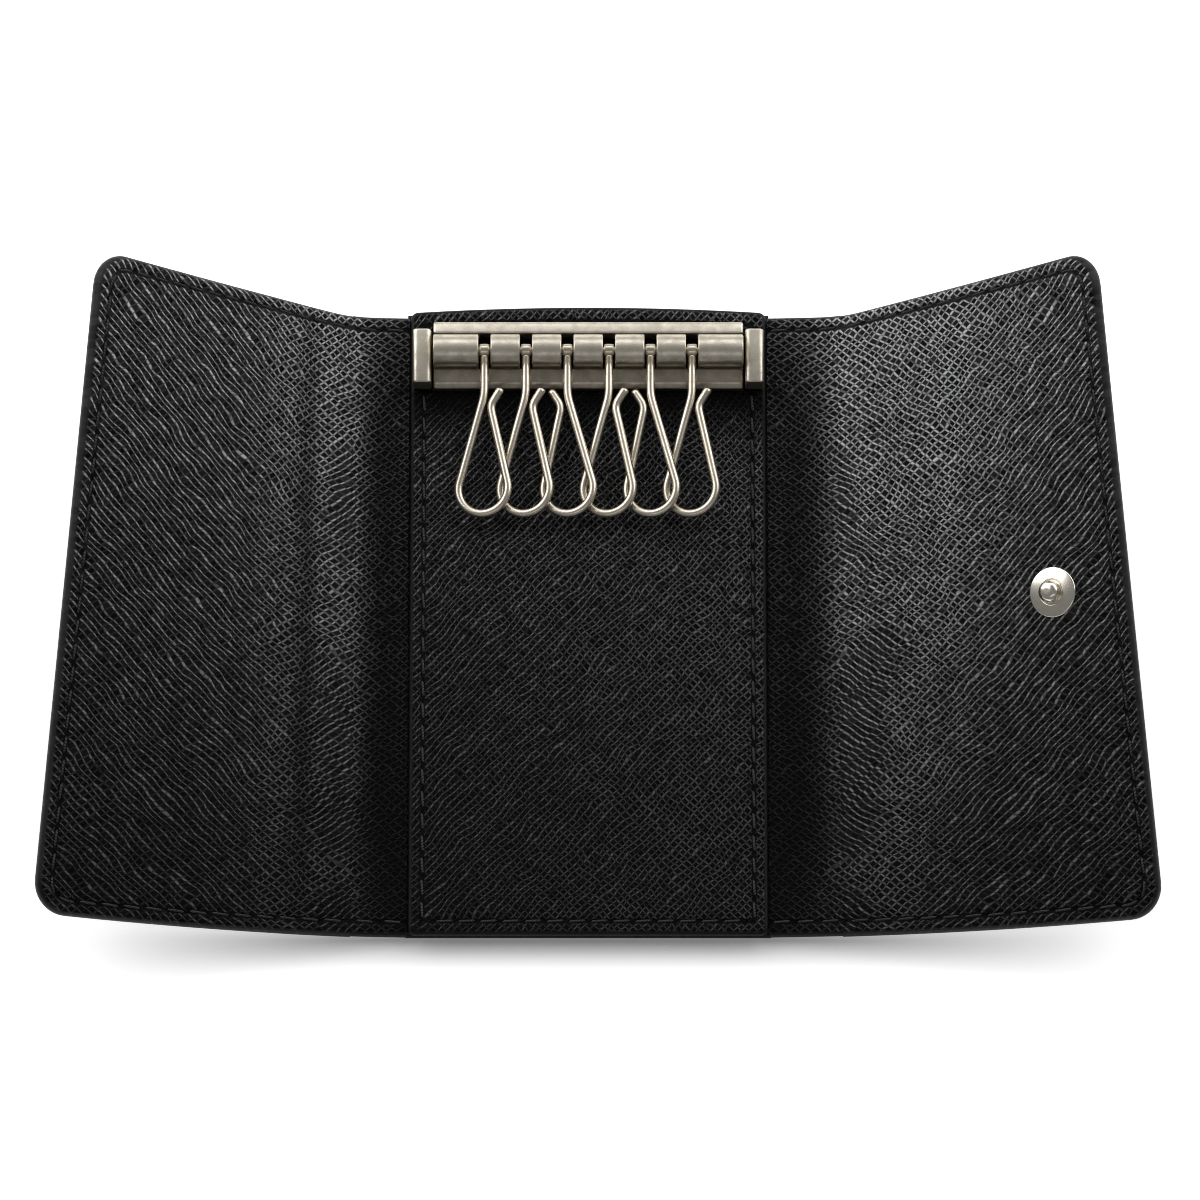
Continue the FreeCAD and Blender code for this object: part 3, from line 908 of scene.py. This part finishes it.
# Key plate
# Pressed from one strip of brass and nickel plated: a rail along the top, a lipped rail below, and seven
# knuckles rolled round the hinge pin, with an open window between each two for a hook's eye. Two rivets
# under the end clips hold it to the panel.
pin_y = 43.15 * mm
pin_z = 6.0 * mm
pin_radius = 0.55 * mm
pin_ease = 0.1 * mm
plate_half = 24.1 * mm
panel_top = skin + panel_stack
plate_top = 3.4 * mm
knuckle_radius = 2.5 * mm
knuckle_ease = 0.22 * mm
neck_half = 1.5 * mm
neck_lap = 0.1 * mm
hook_pitch = 6.45 * mm
hook_slot = 1.87 * mm
hook_places = (np.arange(6) - 2.5) * hook_pitch
rail_ease = 0.35 * mm
low_rail_drop = 5.55 * mm
low_rail_width = 3.1 * mm
low_rail_rounds = (0.1 * mm, 0.3 * mm, 0.35 * mm, 0.3 * mm, 0.1 * mm)
low_rail_height = 2.0 * mm
lip_width = 0.9 * mm
lip_low = 1.1 * mm
lip_high = 1.8 * mm
high_rail_rise = 5.05 * mm
high_rail_width = 2.1 * mm
high_rail_rounds = (0.1 * mm, 0.4 * mm, 0.7 * mm, 0.1 * mm)
high_rail_inner = 3.0 * mm
high_rail_outer = 2.65 * mm
web_lap = 0.1 * mm
web_round = 0.05 * mm
cloud_scale = 600
speck_scale = 4200
scratch_scale = 9000
scratch_stretch = (0.12, 1.0, 1.0)
cloud_limits = (0.3, 0.72)
speck_limits = (0.4, 0.8)
scratch_limits = (0.5, 0.72)
cloud_share = 0.6
speck_share = 0.25
scratch_share = 0.6


def tarnish():
    """Wear of plated metal: soft clouds, fine specks and short scratches, each from 0 to 1."""
    group, given, result = new_group(
        "tarnish", {"Place": "Vector"}, {"Cloud": "Float", "Speck": "Float", "Scratch": "Float"}
    )
    place = given.outputs["Place"]
    cloud = soft_step(group, noise(group, place, cloud_scale, 4.0), *cloud_limits)
    speck = soft_step(group, noise(group, place, speck_scale, 3.0), *speck_limits)
    drawn_out = vector_step(group, "MULTIPLY", place, scratch_stretch)
    scratch = soft_step(group, noise(group, drawn_out, scratch_scale), *scratch_limits)
    for socket, value in (("Cloud", cloud), ("Speck", speck), ("Scratch", scratch)):
        group.links.new(value, result.inputs[socket])
    return group


wear = tarnish()


def plated_metal(name, bright, dull, smooth, rough, depth):
    """Nickel plate that is dull and rougher in its clouds, with fine specks and scratches in relief."""
    material, nodes, links, shader = new_material(name)
    tree = material.node_tree
    wear_and_painted_light = nodes.new("ShaderNodeGroup")
    wear_and_painted_light.node_tree = wear
    links.new(nodes.new("ShaderNodeTexCoord").outputs["Object"], wear_and_painted_light.inputs["Place"])
    blotch = product(tree, wear_and_painted_light.outputs["Cloud"], cloud_share)
    blotch = scaled(tree, wear_and_painted_light.outputs["Speck"], speck_share, blotch)
    links.new(mixed(tree, blotch, bright, dull), shader.inputs["Base Color"])
    links.new(scaled(tree, blotch, rough - smooth, smooth), shader.inputs["Roughness"])
    shader.inputs["Metallic"].default_value = 1.0
    height = scaled(tree, wear_and_painted_light.outputs["Scratch"], scratch_share, wear_and_painted_light.outputs["Speck"])
    relief(tree, shader, height, depth)
    return material


def eased_corners(before, corners, after, reach, steps):
    """Points round corners, each on the curve (1-t)^2 A + 2t(1-t) C + t^2 B, t going from 0 to 1.

    C is the corner, and A and B lie at its reach from it, towards the points before and after it.
    """
    ways = (before - corners, after - corners)
    start, end = (corners + reach * way / np.linalg.norm(way, axis=1, keepdims=True) for way in ways)
    t = np.linspace(0, 1, steps)[None, :, None]
    curve = (1 - t) ** 2 * start[:, None] + 2 * t * (1 - t) * corners[:, None] + t**2 * end[:, None]
    return curve.reshape(-1, 2)


def rounded_outline(corners, reaches):
    """Closed outline through corners, each eased over its own reach."""
    corners = np.array(corners)
    before = np.roll(corners, 1, axis=0)
    after = np.roll(corners, -1, axis=0)
    return eased_corners(before, corners, after, np.array(reaches)[:, None], 7)


def turn_outwards(piece):
    """Make every face of a closed piece point out."""
    shape = bmesh.new()
    shape.from_mesh(piece.data)
    bmesh.ops.remove_doubles(shape, verts=shape.verts, dist=1e-7)
    bmesh.ops.recalc_face_normals(shape, faces=shape.faces)
    shape.to_mesh(piece.data)
    shape.free()


def bar(name, outline, start, end, ease, material, axis=0):
    """A closed outline carried straight along an axis, drawn in round both ends.

    Near an end the outline is set in by ease (1 - sin a) at a distance ease (1 - cos a), a from 0 to 90.
    """
    following = np.roll(outline, -1, axis=0)
    heading = following - np.roll(outline, 1, axis=0)
    outward = np.stack([heading[:, 1], -heading[:, 0]], axis=1)
    outward /= np.maximum(np.linalg.norm(outward, axis=1, keepdims=True), 1e-12)
    outward *= np.sign(np.sum(outline[:, 0] * following[:, 1] - outline[:, 1] * following[:, 0]))
    angle = np.linspace(0, math.pi / 2, 5)
    set_in = np.concatenate([ease * (1 - np.sin(angle)), ease * (1 - np.sin(angle[::-1]))])
    place = np.concatenate([start + ease * (1 - np.cos(angle)), end - ease * (1 - np.cos(angle[::-1]))])
    section = outline[None] - outward[None] * set_in[:, None, None]
    sweep = np.broadcast_to(place[:, None, None], (len(place), len(outline), 1))
    points = np.concatenate([section[..., :axis], sweep, section[..., axis:]], axis=-1)
    count = len(outline)
    faces = grid_faces(len(place), count, closed_columns=True).tolist()
    faces += [np.arange(count).tolist(), (np.arange(count) + (len(place) - 1) * count)[::-1].tolist()]
    piece = new_piece(name, points, faces, material)
    turn_outwards(piece)
    return piece


def joined(name, parts):
    """Several pieces made one."""
    shape = bmesh.new()
    for part in parts:
        shape.from_mesh(part.data)
    whole = parts[0]
    shape.to_mesh(whole.data)
    shape.free()
    for part in parts[1:]:
        bpy.data.objects.remove(part)
    whole.name = name
    return whole


satin_nickel = plated_metal(
    "satin_nickel",
    bright=(0.68, 0.63, 0.535), dull=(0.40, 0.36, 0.29), smooth=0.36, rough=0.48, depth=0.004 * mm
)
# A darker copy of the satin nickel for the lower rail: painted shade under the knuckles.
shaded_nickel = plated_metal(
    "shaded_nickel",
    bright=(0.48, 0.43, 0.35), dull=(0.27, 0.235, 0.185), smooth=0.32, rough=0.44, depth=0.004 * mm
)
low_y = pin_y - low_rail_drop
low_end = low_y + low_rail_width
high_y = pin_y + high_rail_rise
high_start = high_y - high_rail_width
low_corners = [
    (low_y, panel_top), (low_y, panel_top + lip_low), (low_y + lip_width, panel_top + lip_high),
    (low_end, panel_top + low_rail_height), (low_end, panel_top),
]
low_outline = rounded_outline(low_corners, low_rail_rounds)
low_rail = bar("key_plate_low_rail", low_outline, -plate_half, plate_half, rail_ease, shaded_nickel)
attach(low_rail, "back")
high_corners = [
    (high_start, panel_top), (high_start, panel_top + high_rail_inner),
    (high_y, panel_top + high_rail_outer), (high_y, panel_top),
]
high_outline = rounded_outline(high_corners, high_rail_rounds)
high_rail = bar("high_rail", high_outline, -plate_half, plate_half, rail_ease, satin_nickel)
web_start = low_end - web_lap
web_end = high_start + web_lap
web_corners = [(web_start, panel_top), (web_start, plate_top), (web_end, plate_top), (web_end, panel_top)]
web_outline = rounded_outline(web_corners, np.full(4, web_round))

around = np.radians(np.linspace(-53, 233, 44))
roll = np.stack([pin_y + knuckle_radius * np.cos(around), pin_z + knuckle_radius * np.sin(around)], axis=1)
neck_foot = plate_top - neck_lap
neck = np.array([(pin_y - neck_half, neck_foot), (pin_y + neck_half, neck_foot)])
knuckle_outline = np.concatenate([roll, neck])
starts = np.concatenate([[-plate_half], hook_places + hook_slot / 2])
ends = np.concatenate([hook_places - hook_slot / 2, [plate_half]])
knuckles = []
for start, end in zip(starts, ends):
    knuckles.append(bar("knuckle", knuckle_outline, start, end, knuckle_ease, satin_nickel))
    knuckles.append(bar("web", web_outline, start, end, web_round, satin_nickel))
key_plate = joined("key_plate_dressed", [high_rail] + knuckles)
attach(key_plate, "back")
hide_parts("key_plate")

circle = np.radians(np.arange(0, 360, 10))
pin_outline = np.stack([pin_y + pin_radius * np.cos(circle), pin_z + pin_radius * np.sin(circle)], axis=1)
pin_half = plate_half - pin_ease
pin = bar("hinge_pin_dressed", pin_outline, -pin_half, pin_half, pin_ease, satin_nickel)
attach(pin, "back")
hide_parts("hinge_pin")

# End clips
# A pressed cover over each riveted end of the plate, nickel plated, with rounded long edges and its
# foot against the leather.
clip_inner = 24.4 * mm
clip_outer = 27.3 * mm
clip_half = 4.4 * mm
clip_drop = 0.9 * mm
clip_height = 3.9 * mm
clip_ease = 0.3 * mm
clip_rounds = (0.1 * mm, 0.1 * mm, 0.85 * mm, 0.85 * mm)
clip_top = panel_top + clip_height
clip_start = pin_y - clip_drop - clip_half
clip_end = clip_start + 2 * clip_half
for side, name in ((-1, "left"), (1, "right")):
    clip_corners = [(side * clip_inner, panel_top), (side * clip_outer, panel_top)]
    clip_corners += [(side * clip_outer, clip_top), (side * clip_inner, clip_top)]
    clip_outline = rounded_outline(clip_corners, clip_rounds)
    clip = bar(name + "_clip_dressed", clip_outline, clip_start, clip_end, clip_ease, satin_nickel, axis=1)
    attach(clip, "back")
    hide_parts(name + "_end_clip")
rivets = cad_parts["plate_rivets"]
rivets.data.materials.clear()
rivets.data.materials.append(satin_nickel)

# Key hooks
# Six hooks of bright drawn spring wire, nickel plated. An eye at the top of each turns on the hinge
# pin, and the loop springs open at its tip to take a key; the third and fifth are turned over.
wire_radius = 0.67 * mm
hook_roll = math.radians(14)
hook_droop = math.radians(2.5)
mirrored_hooks = (3, 5)
eye_radius = 0.825 * mm
eye_half_width = 0.8 * mm
eye_half_thickness = 0.225 * mm
eye_squareness = 0.6
loop_centre = np.array([-0.15, -22.25]) * mm
loop_radius = 3.95 * mm
shoulder = np.array([0, -7.2]) * mm
shoulder_reach = 1.2 * mm
throat = np.array([0.95, -9.0]) * mm
throat_reach = 1.1 * mm
tip = np.array([2.7, -6.3]) * mm
tip_ease = 0.35 * mm
tip_taper = 0.55


def touching(point, hand):
    """Where a line from a point touches the hook's loop, on the side that hand names."""
    away = point - loop_centre
    lean = hand * math.acos(loop_radius / np.linalg.norm(away)) + math.atan2(away[1], away[0])
    return loop_centre + loop_radius * np.array([math.cos(lean), math.sin(lean)]), lean


def bend(before, corner, after, reach):
    """Points round one bend of the wire."""
    return eased_corners(before[None], corner[None], after[None], reach, 15)


def hook_line(count):
    """Even points along the hook's centre line: stem, shoulder, loop, throat and tip."""
    eye_edge = np.array([0, -eye_radius])
    left, left_turn = touching(shoulder, 1)
    right, right_turn = touching(throat, -1)
    sweep = np.linspace(left_turn, right_turn + 2 * math.pi, 60)
    line = np.concatenate([
        eye_edge[None],
        bend(eye_edge, shoulder, left, shoulder_reach),
        loop_centre + loop_radius * np.stack([np.cos(sweep), np.sin(sweep)], axis=1),
        bend(right, throat, tip, throat_reach),
        tip[None],
    ])
    travelled = np.concatenate([[0], np.cumsum(np.hypot(*np.diff(line, axis=0).T))])
    even = np.linspace(0, travelled[-1], count)
    return np.stack([np.interp(even, travelled, line[:, axis]) for axis in (0, 1)], axis=1), even


def hook_wire():
    """A round wire on the hook's line: rings in the plane square to it, drawn in at the cut tip."""
    line, travelled = hook_line(150)
    heading = np.gradient(line, travelled, axis=0)
    heading /= np.linalg.norm(heading, axis=1, keepdims=True)
    around = np.radians(np.arange(0, 360, 24))
    from_tip = np.clip((travelled[-1] - travelled) / tip_ease, 0, 1)
    radius = wire_radius * np.sqrt(1 - tip_taper * (1 - from_tip) ** 2)
    aside = radius[:, None] * np.cos(around)
    over = radius[:, None] * np.sin(around)
    across = line[:, :1] - heading[:, 1:] * aside
    along = line[:, 1:] + heading[:, :1] * aside
    points = np.stack([across, along, over], axis=-1)
    ring = np.arange(around.size)
    faces = grid_faces(len(line), around.size, closed_columns=True).tolist()
    faces += [ring.tolist(), (ring + (len(line) - 1) * around.size).tolist()]
    return points.reshape(-1, 3), faces


def squared(turn, half, wave):
    """A sine or cosine of a turn, made squarer by a power below 1 and scaled to a half size."""
    return half * np.sign(wave(turn)) * np.abs(wave(turn)) ** eye_squareness


def hook_eye():
    """The eye: a flat strip with rounded edges, carried round the pin."""
    turn = np.radians(np.arange(0, 360, 10))[:, None]
    section = np.radians(np.arange(0, 360, 24))[None]
    wide = squared(section, eye_half_width, np.cos)
    out = eye_radius + squared(section, eye_half_thickness, np.sin)
    points = np.stack([wide + 0 * turn, out * np.cos(turn), out * np.sin(turn)], axis=-1)
    return points.reshape(-1, 3), grid_faces(turn.size, section.size, closed_rows=True, closed_columns=True)


def rotated(first, second, angle):
    """Two coordinates turned by an angle, from the first towards the second."""
    across = first * math.cos(angle) - second * math.sin(angle)
    return across, first * math.sin(angle) + second * math.cos(angle)


drawn_nickel = plated_metal(
    "drawn_nickel",
    bright=(0.74, 0.675, 0.565), dull=(0.54, 0.475, 0.385), smooth=0.30, rough=0.40, depth=0.002 * mm
)
wire_points, wire_faces = hook_wire()
eye_points, eye_faces = hook_eye()
hook_faces = wire_faces + (eye_faces + len(wire_points)).tolist()
for number, hook_place in enumerate(hook_places, start=1):
    hand = -1 if number in mirrored_hooks else 1
    across, along, over = wire_points.T
    across, over = rotated(hand * across, over, hook_roll)
    rolled = np.stack([across, along, over], axis=1)
    across, along, over = np.concatenate([rolled, eye_points]).T
    along, over = rotated(along, over, hook_droop)
    drooped = np.stack([across + hook_place, along + pin_y, over + pin_z], axis=1)
    hook = new_piece("key_hook_%d" % number, drooped, hook_faces, drawn_nickel)
    turn_outwards(hook)
    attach(hook, "hook_%d" % number)
    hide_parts("hook_%d" % number)

# Press stud
# Four turned and pressed pieces in polished nickel: a stud with a round head on the inside of the right
# flap, its domed cap outside, and a ring socket on the outside of the left flap with a post under the lining.
probe = 0.5 * mm
corner_ease_share = 0.4
socket_height = -0.64 * mm
well_scale = 900
well_black = (0.012, 0.011, 0.010)
well_brown = (0.05, 0.047, 0.04)
well_metallic = 0.8
well_rough = 0.5
polished_nickel = plated_metal(
    "polished_nickel",
    bright=(0.82, 0.775, 0.69), dull=(0.70, 0.65, 0.56), smooth=0.2, rough=0.26, depth=0.0001 * mm
)


def painted_hole_shade():
    """A dark disc at the bottom of the socket: painted shade standing in for its hole, clouded brown."""
    material, nodes, links, shader = new_material("dark_well")
    tree = material.node_tree
    cloud = noise(tree, nodes.new("ShaderNodeTexCoord").outputs["Object"], well_scale, 3.0)
    links.new(mixed(tree, cloud, well_black, well_brown), shader.inputs["Base Color"])
    shader.inputs["Metallic"].default_value = well_metallic
    shader.inputs["Roughness"].default_value = well_rough
    return material


def flap_frame(wing, height):
    """Point, two tangents and the normal of a flap's inner face where its snap sits."""
    place = wing_sheet(wing, 0.0, wing["spine"])
    along = wing["snap"] * flap_width + np.array([0, -probe, probe, 0, 0])
    up = height + np.array([0, 0, 0, -probe, probe])
    here, inner, outer, low, high = place(along, up)
    tangent = (outer - inner) / np.linalg.norm(outer - inner)
    normal = np.cross(tangent, high - low) * wing["side"]
    normal /= np.linalg.norm(normal)
    return here, tangent, np.cross(normal, tangent), normal


def turned(name, profile, wing, height, material):
    """A profile of (radius, height) points turned about the normal of a flap, closed at its poles.

    The points are in millimetres from the flap's inner face. The profile's corners are eased over two
    fifths of the shorter side beside them.
    """
    profile = np.array(profile) * mm
    sides = np.linalg.norm(np.diff(profile, axis=0), axis=1)
    reach = np.minimum(sides[:-1], sides[1:])[:, None] * corner_ease_share
    curve = eased_corners(profile[:-2], profile[1:-1], profile[2:], reach, 5)
    line = np.concatenate([profile[:1], curve, profile[-1:]])
    here, tangent, up, normal = flap_frame(wing, height)
    turn = np.radians(np.arange(0, 360, 5))[:, None]
    reach_out = tangent * np.cos(turn)[..., None] + up * np.sin(turn)[..., None]
    points = here + line[:, :1] * reach_out + line[:, 1:] * normal
    piece = new_piece(name, points, grid_faces(turn.size, len(line), closed_rows=True), material)
    turn_outwards(piece)
    return piece


stud_profile = [(0, -0.1), (3.75, -0.1), (3.95, 0.1), (3.8, 0.3), (1.95, 0.6), (1.8, 0.2), (1.5, 0.2)]
stud_profile += [(1.45, 1.1), (1.65, 1.3), (1.65, 1.75), (1.2, 2.2), (0.6, 2.32), (0, 2.32)]
stud = turned("snap_stud_dressed", stud_profile, wings["right"], 0.0, polished_nickel)
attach(stud, "right_flap")
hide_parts("snap_stud")
cap_profile = [(0, -4.1), (2.6, -4.0), (4.3, -3.55), (5.0, -2.95), (4.95, -2.6), (4.5, -2.5), (0, -2.5)]
cap = turned("snap_cap_dressed", cap_profile, wings["right"], 0.0, polished_nickel)
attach(cap, "right_flap")
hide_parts("snap_cap")
socket_profile = [(0, -2.63), (2.1, -2.63), (2.15, -2.8), (2.35, -2.95), (2.7, -2.8), (3.2, -2.9)]
socket_profile += [(3.7, -2.9), (3.95, -2.7), (3.9, -1.6), (0, -1.6)]
socket = turned("snap_socket_dressed", socket_profile, wings["left"], socket_height, polished_nickel)
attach(socket, "left_flap")
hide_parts("snap_socket")
# A dark disc just above the leather inside the socket ring: painted shade where its hole would be.
well_profile = [(0, -2.66), (1.2, -2.66), (1.95, -2.65), (2.0, -2.5), (0, -2.5)]
well = turned("snap_socket_well", well_profile, wings["left"], socket_height, painted_hole_shade())
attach(well, "left_flap")
socket_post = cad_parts["snap_socket_post"]
socket_post.data.materials.clear()
socket_post.data.materials.append(polished_nickel)
